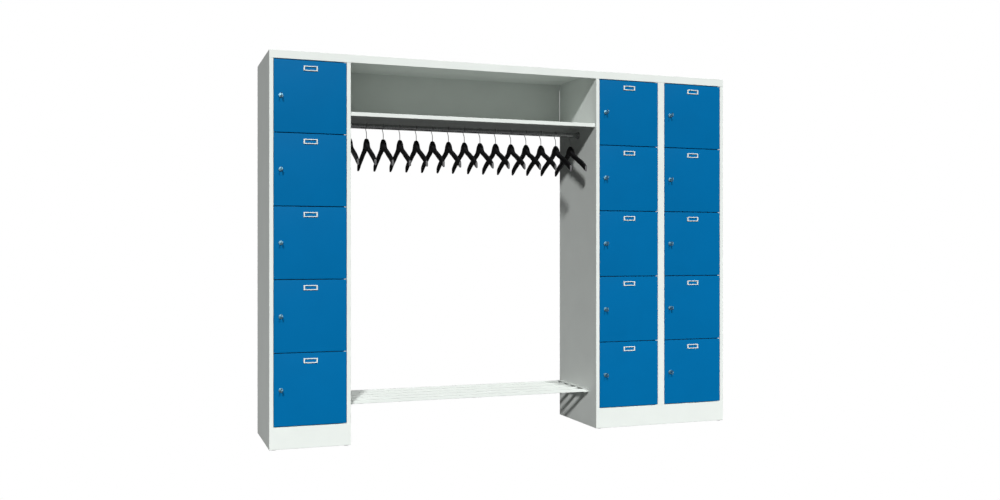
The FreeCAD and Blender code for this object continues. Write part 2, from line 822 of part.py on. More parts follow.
def hanger_pieces():
    """Hanger body and its hook."""
    hook = hook_wire()
    return [hanger_body().cut(hook), hook]


# Assembly of the unit, one file for each named piece

def save(name, solids):
    """Write the separate solids of one named piece."""
    Part.makeCompound(solids).exportStep("parts/" + name + ".step")


def placed(solids, place):
    """Copies of solids, moved to a place."""
    return [solid.translated(place) for solid in solids]


towers = ((left_x, left_columns, -1), (bay_right, right_columns, 1))
columns = []
for tower_x, count, _ in towers:
    columns += [tower_x + step * column_width for step in range(count)]
column_names = ("left", "middle", "right")
sides = ((bay_left, 1), (bay_right, -1))

save("top_cover", [top_cover()])
save("left_tower_walls", tower_walls(*towers[0]))
save("right_tower_walls", tower_walls(*towers[1]))
save("back_panels", [tower_back(x, count) for x, count, _ in towers] + [hat_back()])
save("plinths", [plinth(x, count) for x, count, _ in towers])
save("hat_shelf", [hat_shelf()])
save("coat_rail", [coat_rail()])
save("rail_flanges", [rail_flange(x, inward) for x, inward in sides])
save("shoe_rack_tubes", [rack_tube(y) for y in rack_tube_places()])
save("shoe_rack_channels", [rack_channel(x, inward) for x, inward in sides])

feet = []
for tower_x, count, _ in towers:
    feet += foot_places(tower_x, count)
save("levelling_feet", [levelling_foot(x, y) for x, y in feet])

fasteners = [foot_nut(x, y) for x, y in feet]
for side in (-1, 1):
    for y, z, grip in bolt_places():
        seat = Vector(bay_face(side) - side * grip, y, z)
        fasteners += bolt_and_nut(seat, along_x * side, grip)
for seat in hat_bolt_seats():
    fasteners += bolt_and_nut(seat, -along_z, sheet)
save("fasteners", fasteners)

gap_heights = [plinth_height + gap * door_pitch for gap in range(tier_count + 1)]
floors = []
tabs = []
pins = []
for column_x in columns:
    for gap, gap_z in enumerate(gap_heights):
        corner = Vector(column_x + stile_width, front_y, gap_z)
        tabs += placed([hinge_tab()], corner)
        pins += placed([hinge_pin(gap)], corner)
        if gap < tier_count:
            floors.append(compartment_floor(column_x, gap_z))
save("compartment_floors", floors)
save("hinge_tabs", tabs)
save("hinge_pins", pins)

door = door_pieces()
lock = lock_pieces()
for column_name, column_x in zip(column_names, columns):
    for tier in range(tier_count):
        corner = Vector(column_x + stile_width, front_y, gap_heights[tier])
        label = column_name + "_" + str(tier_count - tier)
        save("door_" + label, placed(door, corner))
        save("lock_" + label, placed(lock, corner))

hanger = hanger_pieces()
for step in range(hanger_count):
    place = Vector(bay_left + (step + 1 / 2) * hanger_pitch - hanger_shift, rail_y, rail_z)
    save("hanger_" + str(step + 1).zfill(2), placed(hanger, place))
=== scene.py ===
import math

import bmesh
import bpy
from mathutils import Matrix, Vector


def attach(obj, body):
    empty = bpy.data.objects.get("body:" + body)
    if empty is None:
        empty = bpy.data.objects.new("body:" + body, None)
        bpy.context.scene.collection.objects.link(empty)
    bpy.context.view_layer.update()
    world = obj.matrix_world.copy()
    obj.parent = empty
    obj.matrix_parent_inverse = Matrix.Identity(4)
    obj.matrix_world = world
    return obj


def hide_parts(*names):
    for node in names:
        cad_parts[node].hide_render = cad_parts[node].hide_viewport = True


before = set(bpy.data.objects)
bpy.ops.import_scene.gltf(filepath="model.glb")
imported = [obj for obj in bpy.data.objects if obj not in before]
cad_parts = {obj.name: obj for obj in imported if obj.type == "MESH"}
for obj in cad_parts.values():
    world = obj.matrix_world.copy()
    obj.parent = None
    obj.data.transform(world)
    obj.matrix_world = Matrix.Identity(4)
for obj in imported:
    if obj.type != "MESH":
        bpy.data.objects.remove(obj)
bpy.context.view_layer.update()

MM = 0.001

# Door and lock sizes in millimetres, from the left edge, front and foot of one door opening
DOOR_LEFT, DOOR_RIGHT = 2.5, 357.5
DOOR_LOW, DOOR_HIGH = 4.0, 359.2
DOOR_DEPTH, DOOR_RIM, SHEET = 18.0, 10.0, 1.0
PIVOT_X, PIVOT_Y = 349.9786, 6.0
BUSH_RADIUS, BUSH_COLLAR, BUSH_BORE = 4.55, 5.25, 3.05
BUSH_FLANGE, BUSH_LENGTH = 0.7, 10.0
BUMPER_X, BUMPER_RADIUS, BUMPER_THICK = 5.25, 2.2, 2.662
BUMPER_HEIGHTS = (44.0, 319.2)
STIFFENER_MIDDLE, STIFFENER_WIDTH, STIFFENER_FLANGE = 180.0, 50.0, 15.0
STIFFENER_CROWN, STIFFENER_LOW, STIFFENER_HIGH = 12.0, 20.0, 289.2
LABEL_LEFT, LABEL_RIGHT, LABEL_LOW, LABEL_HIGH = 145.5, 214.5, 308.8, 333.0
LABEL_THICK, LABEL_POST, LABEL_BAR = 5.5, 6.0, 4.0
CARD_LAP, CARD_SLOT = 2.0, 0.8
LOCK_X, LOCK_Z = 35.6, 181.6
ROSETTE_RADIUS, ROSETTE_THICK = 11.0, 5.0
BARREL_RADIUS, BARREL_END, PLUG_BORE = 9.0, 23.162, 6.55
LOCK_NUT_CORNER, LOCK_NUT_THICK = 13.856, 4.0
PLUG_RADIUS, PLUG_FRONT, CAM_FRONT = 6.5, -5.5, 23.462
KEY_THICK, KEY_BLADE_HEIGHT, KEY_BLADE_LENGTH, KEY_PLAY = 2.2, 7.0, 18.0, 0.1
KEY_NECK_HEIGHT, KEY_BOW_RADIUS, KEY_BOW_Y = 10.0, 12.0, -28.0
KEY_HOLE_RADIUS, KEY_HOLE_Y = 3.2, -33.8
CAM_WIDTH, CAM_THICK, CAM_REACH = 14.0, 2.5, 35.6
SCREW_HEAD_RADIUS, SCREW_HEAD_THICK = 4.5, 2.5
SLOT_HALF_WIDTH, SLOT_HALF_LENGTH, SLOT_FLOOR = 0.5, 3.0, 1.0

# Hanger sizes in millimetres, from the middle of the rail; the tables run from the neck to the end of an arm
WIRE_RADIUS, HOOK_RADIUS, HOOK_Z = 1.8, 21.0, -5.5
HOOK_TIP_DEG, HOOK_TURN_DEG, STEM_END = 190.0, 52.0, -82.7
NECK_DROP, HANGER_HALF, HANGER_FALL = 64.7, 211.0, 126.3
HANGER_HEIGHT, HANGER_WIDTH, ARM_CORNER = 55.5, 23.5, 9.2
ARM_REACH = (0.0, 0.05, 0.11, 0.17, 0.25, 0.36, 0.52, 0.78, 0.94, 1.0)
ARM_FALL = (0.0, 0.05, 0.139, 0.3, 0.398, 0.462, 0.572, 0.762, 0.933, 1.0)
ARM_TALL = (1.0, 0.91, 0.673, 0.475, 0.425, 0.465, 0.54, 0.58, 0.55, 0.543)
ARM_WIDE = (1.0, 1.0, 1.0, 0.955, 0.885, 0.785, 0.725, 0.67, 0.635, 0.48)
# Depth in millimetres from the flat end of an arm that gets the painted highlight
ARM_HIGHLIGHT_DEPTH = 0.4

# Places of the doors, hangers and feet in the unit, in millimetres
COLUMNS = {"left": -1255.0, "middle": 495.0, "right": 895.0}
FRONT_Y, PLINTH_Z, DOOR_PITCH, TIERS = -230.0, 110.0, 359.2, 5
RAIL_Y, RAIL_Z, HANGER_FIRST_X, HANGER_PITCH, HANGERS = 7.0, 1625.0, -834.0, 90.0, 15
FOOT_TOP_Z = 2.0

# Rounded edges in millimetres, and the steps that curves are made of
DOOR_EDGE, STIFFENER_BEND, LABEL_EDGE, BUMPER_EDGE = 1.6, 1.5, 0.8, 0.9
ROSETTE_EDGE, LOCK_NUT_EDGE, PLUG_EDGE, KEY_EDGE = 0.8, 0.5, 0.5, 0.35
CAM_EDGE, SCREW_EDGE, ARM_END_EDGE = 0.3, 0.7, 0.8
EDGE_STEPS, FINE_EDGE_STEPS, ARM_CORNER_STEPS = 3, 2, 6
HOOK_STEPS, BACK_STEPS, ARM_STEPS = 44, 12, 4
LOCK_SIDES, ROUND_SIDES, SMALL_SIDES, DOT_SIDES, WIRE_SIDES, HEXAGON = 64, 48, 32, 24, 14, 6

# Modelling habits: tolerance, overrun of cutters and merged distance in millimetres, and angles of edges
NEAR, OVERRUN, DOUBLES = 0.01, 5.0, 0.002
SHARP_DEG, CREASE_DEG, HANGER_CREASE_DEG = 50.0, 35.0, 60.0

# Finish values: noise in spots per metre with its detail, bump as strength with depth in millimetres
CLOUD_NOISE, PEEL_NOISE, MARK_NOISE = (7.0, 4.0), (420.0, 2.0), (300.0, 5.0)
SKIN_NOISE, BROAD_NOISE, FOOT_NOISE = (900.0, 3.0), (16.0, 3.0), (700.0, 3.0)
NOISE_LOW, NOISE_HIGH = 0.3, 0.7
PEEL_BUMP, MARK_BUMP, SKIN_BUMP, FOOT_BUMP = (0.12, 0.15), (0.1, 0.05), (0.18, 0.1), (0.15, 0.1)
COAT_TONES, METAL_TONES, PLASTIC_TONES = (0.98, 1.02), (0.86, 1.08), (0.8, 1.25)
COAT_ROUGHNESS, ARM_ROUGHNESS, FOOT_ROUGHNESS = (0.42, 0.54), (0.36, 0.5), (0.4, 0.6)
METAL_WEAR, PLASTIC_WEAR = (0.8, 1.25), (0.85, 1.15)
COAT_DIFFUSE_ROUGHNESS, PLASTIC_GLOSS, ARM_GLOSS = 0.4, 0.35, 0.3
ARM_BLACK = ((0.004, 0.004, 0.0045), (0.008, 0.008, 0.009))
# Painted highlight: grey where light falls on the flat ends of the black arms
ARM_END_PAINTED_HIGHLIGHT = ((0.1, 0.1, 0.102), (0.14, 0.14, 0.142))
PAD_GREY = ((0.22, 0.22, 0.22), (0.29, 0.29, 0.29))
STUD_ZINC = ((0.5, 0.51, 0.52), (0.66, 0.67, 0.68))

# Studio values: strength and heading of each light, place and lens of the camera
LIGHTS = {"left_light": (2.16, (0.37, 1.0, -0.6)), "right_light": (1.75, (-0.21, 1.0, -0.65))}
LIGHT_SPREAD_DEG, FILL_STRENGTH = 5.0, 0.04
WHITE, FLOOR_GREY = (1, 1, 1, 1), (0.12, 0.12, 0.12, 1)
FLOOR_SIZE, FLOOR_ROUGHNESS = 60.0, 0.9
CAMERA_PLACE, CAMERA_TURN_DEG = (-1.8795, -5.1703, 0.975), -19.98
CAMERA_SENSOR, CAMERA_LENS = 36.0, 35.975


# Hand tools for modelling

def only(piece):
    """Make one piece the active and only selected object."""
    bpy.ops.object.select_all(action="DESELECT")
    piece.select_set(True)
    bpy.context.view_layer.objects.active = piece


def edit(piece):
    """Open one piece for editing with nothing selected."""
    only(piece)
    bpy.ops.object.mode_set(mode="EDIT")
    bpy.ops.mesh.select_all(action="DESELECT")


def close():
    """Leave edit mode."""
    bpy.ops.object.mode_set(mode="OBJECT")


def pick(piece, kind, test):
    """Select the vertices, edges or faces whose middle, in millimetres, passes a test."""
    bpy.ops.mesh.select_mode(type=kind)
    bpy.ops.mesh.select_all(action="DESELECT")
    mesh = bmesh.from_edit_mesh(piece.data)
    found = {"VERT": mesh.verts, "EDGE": mesh.edges, "FACE": mesh.faces}[kind]
    for part in found:
        if kind == "VERT":
            middle = part.co
        elif kind == "EDGE":
            middle = (part.verts[0].co + part.verts[1].co) / 2
        else:
            middle = part.calc_center_median()
        if test(middle / MM, part):
            part.select_set(True)
    mesh.select_flush_mode()
    bmesh.update_edit_mesh(piece.data)


def draw_out(x, y, z):
    """Extrude what is selected by a step in millimetres."""
    bpy.ops.mesh.extrude_region_move(TRANSFORM_OT_translate={"value": (x * MM, y * MM, z * MM)})


def settle(name):
    """Name the new piece and put its place into its mesh."""
    piece = bpy.context.object
    piece.name = name
    piece.data.name = name
    bpy.ops.object.transform_apply(location=True, rotation=True, scale=True)
    return piece


def block(name, low, high):
    """A block between two corners, in millimetres."""
    low, high = Vector(low) * MM, Vector(high) * MM
    bpy.ops.mesh.primitive_cube_add(size=1, location=(low + high) / 2, scale=high - low)
    return settle(name)


def rod(name, radius, start, end, sides=ROUND_SIDES):
    """A round bar between two points, in millimetres."""
    start, end = Vector(start) * MM, Vector(end) * MM
    turn = (end - start).to_track_quat("Z", "Y").to_euler()
    bpy.ops.mesh.primitive_cylinder_add(vertices=sides, radius=radius * MM, depth=(end - start).length,
                                        location=(start + end) / 2, rotation=turn)
    return settle(name)


def upright_plate(name, middle, wide, tall):
    """A flat plate that faces the front, in millimetres."""
    bpy.ops.mesh.primitive_plane_add(size=1, rotation=(math.pi / 2, 0, 0), location=Vector(middle) * MM)
    bpy.context.object.scale = (wide * MM, tall * MM, 1)
    return settle(name)


def modify(piece, kind, **settings):
    """Add one modifier and apply it."""
    only(piece)
    modifier = piece.modifiers.new(kind.lower(), kind)
    for key, value in settings.items():
        setattr(modifier, key, value)
    bpy.ops.object.modifier_apply(modifier=modifier.name)


def cut(piece, *cutters):
    """Cut each cutter out of a piece."""
    for cutter in cutters:
        modify(piece, "BOOLEAN", operation="DIFFERENCE", solver="EXACT", object=cutter)
        bpy.data.objects.remove(cutter)
    return piece


def weld(piece, *others):
    """Fuse other shapes to a piece."""
    for other in others:
        modify(piece, "BOOLEAN", operation="UNION", solver="EXACT", object=other)
        bpy.data.objects.remove(other)


def gather(piece, *others):
    """Join loose pieces of one finish into one object."""
    only(piece)
    for other in others:
        other.select_set(True)
    bpy.ops.object.join()
    return piece


def smooth(piece, degrees=CREASE_DEG):
    """Merge doubles, turn the faces outwards and shade the rounded ones smooth."""
    edit(piece)
    bpy.ops.mesh.select_all(action="SELECT")
    bpy.ops.mesh.remove_doubles(threshold=DOUBLES * MM)
    bpy.ops.mesh.normals_make_consistent(inside=False)
    close()
    bpy.ops.object.shade_smooth_by_angle(angle=math.radians(degrees))
    return piece


def bevel_edges(piece, test, width, segments=EDGE_STEPS):
    """Round the edges that pass a test, by a width in millimetres."""
    edit(piece)
    pick(piece, "EDGE", test)
    bpy.ops.mesh.bevel(offset=width * MM, segments=segments, affect="EDGES")
    close()


def bevel_sharp(piece, width):
    """Round every sharp edge of a piece, by a width in millimetres."""
    modify(piece, "BEVEL", width=width * MM, segments=FINE_EDGE_STEPS, limit_method="ANGLE",
           angle_limit=math.radians(SHARP_DEG))


# Finishes

def finish_nodes(name, **sockets):
    """A new node finish with its even values set on the shader, and its object coordinates."""
    material = bpy.data.materials.new(name)
    material.use_nodes = True
    tree = material.node_tree
    shader = tree.nodes["Principled BSDF"]
    for key, value in sockets.items():
        shader.inputs[key.replace("_", " ")].default_value = value
    place = tree.nodes.new("ShaderNodeTexCoord").outputs["Object"]
    return material, tree, shader, place


def grain(tree, place, spots_and_detail):
    """Noise in spots per metre, with its detail."""
    noise = tree.nodes.new("ShaderNodeTexNoise")
    noise.inputs["Scale"].default_value, noise.inputs["Detail"].default_value = spots_and_detail
    tree.links.new(place, noise.inputs["Vector"])
    return noise.outputs["Fac"]


def shades(tree, factor, dark_and_light):
    """Colours from dark to light that follow a noise."""
    ramp = tree.nodes.new("ShaderNodeValToRGB")
    for element, position, colour in zip(ramp.color_ramp.elements, (NOISE_LOW, NOISE_HIGH), dark_and_light):
        element.position = position
        element.color = (*colour, 1)
    tree.links.new(factor, ramp.inputs["Fac"])
    return ramp.outputs["Color"]


def ranged(tree, factor, ends):
    """A value between two ends that follows a noise."""
    node = tree.nodes.new("ShaderNodeMapRange")
    values = (NOISE_LOW, NOISE_HIGH, *ends)
    for socket, value in zip(("From Min", "From Max", "To Min", "To Max"), values):
        node.inputs[socket].default_value = value
    tree.links.new(factor, node.inputs["Value"])
    return node.outputs["Result"]


def worked_out(tree, operation, source, value=0.0):
    """One step of arithmetic on a value."""
    node = tree.nodes.new("ShaderNodeMath")
    node.operation = operation
    node.inputs[1].default_value = value
    tree.links.new(source, node.inputs[0])
    return node.outputs["Value"]


def along(tree, place, axis):
    """The coordinate along one axis."""
    axes = tree.nodes.new("ShaderNodeSeparateXYZ")
    tree.links.new(place, axes.inputs["Vector"])
    return axes.outputs[axis]


def split(tree, mask, off, on):
    """One colour where a mask is off and another where it is on."""
    mix = tree.nodes.new("ShaderNodeMix")
    mix.data_type = "RGBA"
    for source, socket in ((mask, "Factor"), (off, "A"), (on, "B")):
        tree.links.new(source, mix.inputs[socket])
    return mix.outputs["Result"]


def dress(tree, shader, colours, roughness, height, strength_and_depth):
    """Join colours, roughness and a bump to a shader."""
    strength, depth = strength_and_depth
    bump = tree.nodes.new("ShaderNodeBump")
    bump.inputs["Strength"].default_value = strength
    bump.inputs["Distance"].default_value = depth * MM
    tree.links.new(height, bump.inputs["Height"])
    joined = {"Base Color": colours, "Roughness": roughness, "Normal": bump.outputs["Normal"]}
    for socket, source in joined.items():
        tree.links.new(source, shader.inputs[socket])


def tones(colour, factors):
    """A colour made lighter or darker by each factor."""
    return [tuple(min(1.0, channel * factor) for channel in colour) for factor in factors]


def powder_coat(name, colour, gloss):
    """Baked powder paint: a rough body, faint cloudiness and an orange-peel skin."""
    material, tree, shader, place = finish_nodes(
        name, Specular_IOR_Level=gloss, Diffuse_Roughness=COAT_DIFFUSE_ROUGHNESS)
    colours = shades(tree, grain(tree, place, CLOUD_NOISE), tones(colour, COAT_TONES))
    peel = grain(tree, place, PEEL_NOISE)
    dress(tree, shader, colours, ranged(tree, peel, COAT_ROUGHNESS), peel, PEEL_BUMP)
    return material


def plated(name, colour, roughness):
    """Plated metal with fine working marks."""
    material, tree, shader, place = finish_nodes(name, Metallic=1.0)
    marks = grain(tree, place, MARK_NOISE)
    worn = ranged(tree, marks, [roughness * share for share in METAL_WEAR])
    dress(tree, shader, shades(tree, marks, tones(colour, METAL_TONES)), worn, marks, MARK_BUMP)
    return material


def moulded(name, colour, roughness):
    """Moulded plastic with a fine eroded skin."""
    material, tree, shader, place = finish_nodes(name, Specular_IOR_Level=PLASTIC_GLOSS)
    skin = grain(tree, place, SKIN_NOISE)
    colours = shades(tree, grain(tree, place, BROAD_NOISE), tones(colour, PLASTIC_TONES))
    worn = ranged(tree, skin, [roughness * share for share in PLASTIC_WEAR])
    dress(tree, shader, colours, worn, skin, SKIN_BUMP)
    return material


def arm_finish(name):
    """Black plastic with painted highlight grey on the flat ends of the arms, split by the distance from the
    rail.
    """
    material, tree, shader, place = finish_nodes(name, Specular_IOR_Level=ARM_GLOSS)
    from_rail = worked_out(tree, "SUBTRACT", along(tree, place, "Y"), RAIL_Y * MM)
    reach = worked_out(tree, "ABSOLUTE", from_rail)
    at_painted_highlight = worked_out(tree, "GREATER_THAN", reach, (HANGER_HALF - ARM_HIGHLIGHT_DEPTH) * MM)
    skin = grain(tree, place, SKIN_NOISE)
    black = shades(tree, grain(tree, place, BROAD_NOISE), ARM_BLACK)
    # Painted highlight: the flat ends of the arms turn grey instead of black
    colours = split(tree, at_painted_highlight, black, shades(tree, skin, ARM_END_PAINTED_HIGHLIGHT))
    dress(tree, shader, colours, ranged(tree, skin, ARM_ROUGHNESS), skin, SKIN_BUMP)
    return material


def foot_finish(name):
    """Grey pads below and plated studs above, split at the height of the pads."""
    material, tree, shader, place = finish_nodes(name)
    above = worked_out(tree, "GREATER_THAN", along(tree, place, "Z"), FOOT_TOP_Z * MM)
    skin = grain(tree, place, FOOT_NOISE)
    colours = split(tree, above, shades(tree, skin, PAD_GREY), shades(tree, skin, STUD_ZINC))
    tree.links.new(above, shader.inputs["Metallic"])
    dress(tree, shader, colours, ranged(tree, skin, FOOT_ROUGHNESS), skin, FOOT_BUMP)
    return material


grey_paint = powder_coat("light_grey_powder_coat", (0.755, 0.792, 0.762), 0.3)
blue_paint = powder_coat("blue_powder_coat", (0.0003, 0.1443, 0.3674), 0.03)
nickel = plated("satin_nickel_plate", (0.2, 0.39, 0.49), 0.5)
zinc = plated("zinc_plate", (0.62, 0.63, 0.64), 0.42)
rail_steel = plated("bright_plated_tube", (0.6, 0.61, 0.61), 0.24)
arm_black_and_highlight = arm_finish("moulded_black_with_painted_end_highlight")
grey_plastic = moulded("grey_plastic", (0.25, 0.25, 0.252), 0.6)
foot_mix = foot_finish("foot_pads_and_studs")

NODE_FINISHES = {
    "top_cover": grey_paint, "left_tower_walls": grey_paint, "right_tower_walls": grey_paint,
    "back_panels": grey_paint, "plinths": grey_paint, "hat_shelf": grey_paint,
    "compartment_floors": grey_paint, "hinge_tabs": grey_paint,
    "shoe_rack_tubes": grey_paint, "shoe_rack_channels": grey_paint,
    "coat_rail": rail_steel, "rail_flanges": rail_steel,
    "hinge_pins": zinc, "fasteners": zinc, "levelling_feet": foot_mix,
}
for node, material in NODE_FINISHES.items():
    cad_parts[node].data.materials.clear()
    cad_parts[node].data.materials.append(material)


# Door pieces, modelled once at one opening

def on_lock(depth):
    """A point on the axis of the lock."""
    return (LOCK_X, depth, LOCK_Z)


def on_pivot(height):
    """A point on the axis of the hinge."""
    return (PIVOT_X, PIVOT_Y, height)


def lock_block(name, half_wide, half_tall, front, back):
    """A block round the axis of the lock, between two depths."""
    return block(name, (LOCK_X - half_wide, front, LOCK_Z - half_tall),
                 (LOCK_X + half_wide, back, LOCK_Z + half_tall))


def door_leaf():
    """Folded pan with rounded front edges, a turned-in rim, a lock hole and pin holes."""
    leaf = block("door_leaf", (DOOR_LEFT, 0, DOOR_LOW), (DOOR_RIGHT, DOOR_DEPTH, DOOR_HIGH))
    bevel_edges(leaf, lambda middle, edge: middle.y < NEAR, DOOR_EDGE)
    edit(leaf)
    pick(leaf, "FACE", lambda middle, face: middle.y > DOOR_DEPTH - NEAR)
    bpy.ops.mesh.inset(thickness=DOOR_RIM * MM, depth=0)
    bpy.ops.mesh.delete(type="FACE")
    close()
    modify(leaf, "SOLIDIFY", thickness=SHEET * MM, offset=-1, use_even_offset=True)
    lock_hole = rod("lock_hole", BARREL_RADIUS, on_lock(-OVERRUN), on_lock(OVERRUN))
    pin_hole = rod("pin_hole", BUSH_RADIUS, on_pivot(0), on_pivot(DOOR_HIGH + OVERRUN))
    return cut(leaf, lock_hole, pin_hole)


def door_stiffener():
    """Hat section folded from one strip that lies on the back of the leaf."""
    low = STIFFENER_MIDDLE - STIFFENER_WIDTH / 2 - STIFFENER_FLANGE
    middle = (low + STIFFENER_FLANGE / 2, SHEET + SHEET / 2, (STIFFENER_LOW + STIFFENER_HIGH) / 2)
    strip = upright_plate("door_stiffener", middle, STIFFENER_FLANGE, STIFFENER_HIGH - STIFFENER_LOW)
    edit(strip)
    pick(strip, "EDGE", lambda middle, edge: abs(middle.x - low - STIFFENER_FLANGE) < NEAR)
    draw_out(0, STIFFENER_CROWN, 0)
    draw_out(STIFFENER_WIDTH, 0, 0)
    draw_out(0, -STIFFENER_CROWN, 0)
    draw_out(STIFFENER_FLANGE, 0, 0)
    close()
    bevel_edges(strip, lambda middle, edge: not edge.is_boundary, STIFFENER_BEND)
    modify(strip, "SOLIDIFY", thickness=SHEET * MM, offset=0, use_even_offset=True)
    return strip


def label_frame():
    """Frame round a window, with rounded edges and a slot for a card from the right."""
    front = -LABEL_THICK
    holder = block("label_frame", (LABEL_LEFT, front, LABEL_LOW), (LABEL_RIGHT, 0, LABEL_HIGH))
    edit(holder)
    pick(holder, "FACE", lambda middle, face: middle.y < front + NEAR or middle.y > -NEAR)
    bpy.ops.mesh.inset(thickness=LABEL_BAR * MM, depth=0, use_individual=True)
    wide = LABEL_RIGHT - LABEL_LEFT
    middle = Vector((LABEL_LEFT + wide / 2, 0, 0)) * MM
    narrow = (wide - 2 * LABEL_POST) / (wide - 2 * LABEL_BAR)
    bpy.ops.transform.resize(value=(narrow, 1, 1), center_override=middle)
    bpy.ops.mesh.delete(type="ONLY_FACE")
    pick(holder, "EDGE", lambda middle, edge: edge.is_boundary)
    bpy.ops.mesh.bridge_edge_loops()
    close()

    def sharp_in_front(middle, edge):
        return middle.y < front + NEAR and edge.calc_face_angle(0) > math.radians(SHARP_DEG)

    bevel_edges(holder, sharp_in_front, LABEL_EDGE)
    slot_low = (LABEL_LEFT + LABEL_POST - CARD_LAP, -CARD_SLOT, LABEL_LOW + LABEL_BAR - CARD_LAP)
    slot_high = (LABEL_RIGHT + OVERRUN, OVERRUN, LABEL_HIGH - LABEL_BAR + CARD_LAP)
    return cut(holder, block("card_slot", slot_low, slot_high))


def lock_housing():
    """Rosette with a threaded barrel, bored for the plug, and its nut."""
    body = rod("lock_housing", ROSETTE_RADIUS, on_lock(-ROSETTE_THICK), on_lock(0), LOCK_SIDES)
    bevel_edges(body, lambda middle, edge: middle.y < -ROSETTE_THICK + NEAR, ROSETTE_EDGE)
    edit(body)
    pick(body, "FACE", lambda middle, face: middle.y > -NEAR)
    bpy.ops.mesh.inset(thickness=(ROSETTE_RADIUS - BARREL_RADIUS) * MM, depth=0)
    draw_out(0, BARREL_END, 0)
    close()
    cut(body, rod("plug_bore", PLUG_BORE, on_lock(-ROSETTE_THICK - OVERRUN), on_lock(BARREL_END + OVERRUN),
                  LOCK_SIDES))
    nut_end = SHEET + LOCK_NUT_THICK
    nut = rod("lock_nut", LOCK_NUT_CORNER, on_lock(SHEET), on_lock(nut_end), HEXAGON)
    bevel_edges(nut, lambda middle, edge: True, LOCK_NUT_EDGE, FINE_EDGE_STEPS)
    cut(nut, rod("nut_bore", BARREL_RADIUS, on_lock(SHEET - OVERRUN), on_lock(nut_end + OVERRUN), LOCK_SIDES))
    return gather(body, nut)


def door_bush(seat_z, into):
    """Flanged bush with a bore; into is 1 at the door's foot and -1 at its head."""
    bush = rod("door_bush", BUSH_COLLAR, on_pivot(seat_z - into * BUSH_FLANGE), on_pivot(seat_z), SMALL_SIDES)
    edit(bush)
    pick(bush, "FACE", lambda middle, face: abs(middle.z - seat_z) < NEAR)
    bpy.ops.mesh.inset(thickness=(BUSH_COLLAR - BUSH_RADIUS) * MM, depth=0)
    draw_out(0, 0, into * BUSH_LENGTH)
    close()
    start = on_pivot(seat_z - into * OVERRUN)
    end = on_pivot(seat_z + into * (BUSH_LENGTH + OVERRUN))
    return cut(bush, rod("bush_bore", BUSH_BORE, start, end, SMALL_SIDES))


def door_dots():
    """Bushes, and plastic dots that meet the door stop."""
    pieces = [door_bush(DOOR_LOW, 1), door_bush(DOOR_HIGH, -1)]
    dot_end = DOOR_DEPTH + BUMPER_THICK
    for height in BUMPER_HEIGHTS:
        dot = rod("bumper", BUMPER_RADIUS, (BUMPER_X, DOOR_DEPTH, height), (BUMPER_X, dot_end, height),
                  DOT_SIDES)
        bevel_edges(dot, lambda middle, edge: middle.y > dot_end - NEAR, BUMPER_EDGE)
        pieces.append(dot)
    return gather(*pieces)


# Turning pieces of the lock

def plug_and_key():
    """Plug with its keyway, and the key in it."""
    plug = rod("plug_and_key", PLUG_RADIUS, on_lock(PLUG_FRONT), on_lock(CAM_FRONT))
    bevel_edges(plug, lambda middle, edge: middle.y < PLUG_FRONT + NEAR, PLUG_EDGE)
    half = KEY_THICK / 2
    tall = KEY_BLADE_HEIGHT / 2
    blade_end = PLUG_FRONT + KEY_BLADE_LENGTH
    keyway = lock_block("keyway", half + KEY_PLAY, tall + KEY_PLAY, PLUG_FRONT - OVERRUN, blade_end + KEY_PLAY)
    cut(plug, keyway)
    bow = rod("key", KEY_BOW_RADIUS, (LOCK_X - half, KEY_BOW_Y, LOCK_Z), (LOCK_X + half, KEY_BOW_Y, LOCK_Z))
    neck = lock_block("key_neck", half, KEY_NECK_HEIGHT / 2, KEY_BOW_Y, PLUG_FRONT - KEY_PLAY)
    blade = lock_block("key_blade", half, tall, PLUG_FRONT - 2 * KEY_PLAY, blade_end)
    weld(bow, neck, blade)
    hole_start = (LOCK_X - OVERRUN, KEY_HOLE_Y, LOCK_Z)
    hole_end = (LOCK_X + OVERRUN, KEY_HOLE_Y, LOCK_Z)
    cut(bow, rod("ring_hole", KEY_HOLE_RADIUS, hole_start, hole_end, SMALL_SIDES))
    bevel_sharp(bow, KEY_EDGE)
    return gather(plug, bow)


def cam_and_screw():
    """Cam drawn out from a round eye, with its screw."""
    seat = CAM_FRONT + CAM_THICK
    cam = rod("cam_and_screw", CAM_WIDTH / 2, on_lock(CAM_FRONT), on_lock(seat))
    edit(cam)
    pick(cam, "VERT", lambda point, vertex: point.z < LOCK_Z - NEAR)
    bpy.ops.transform.translate(value=(0, 0, -(CAM_REACH - CAM_WIDTH / 2) * MM))
    close()
    bevel_sharp(cam, CAM_EDGE)
    head_end = seat + SCREW_HEAD_THICK
    head = rod("screw_head", SCREW_HEAD_RADIUS, on_lock(seat), on_lock(head_end), SMALL_SIDES)
    bevel_edges(head, lambda middle, edge: middle.y > head_end - NEAR, SCREW_EDGE)
    for half_wide, half_tall in ((SLOT_HALF_WIDTH, SLOT_HALF_LENGTH), (SLOT_HALF_LENGTH, SLOT_HALF_WIDTH)):
        cut(head, lock_block("screw_slot", half_wide, half_tall, seat + SLOT_FLOOR, seat + OVERRUN))
    return gather(cam, head)


# Hanger pieces, modelled once at the rail's middle

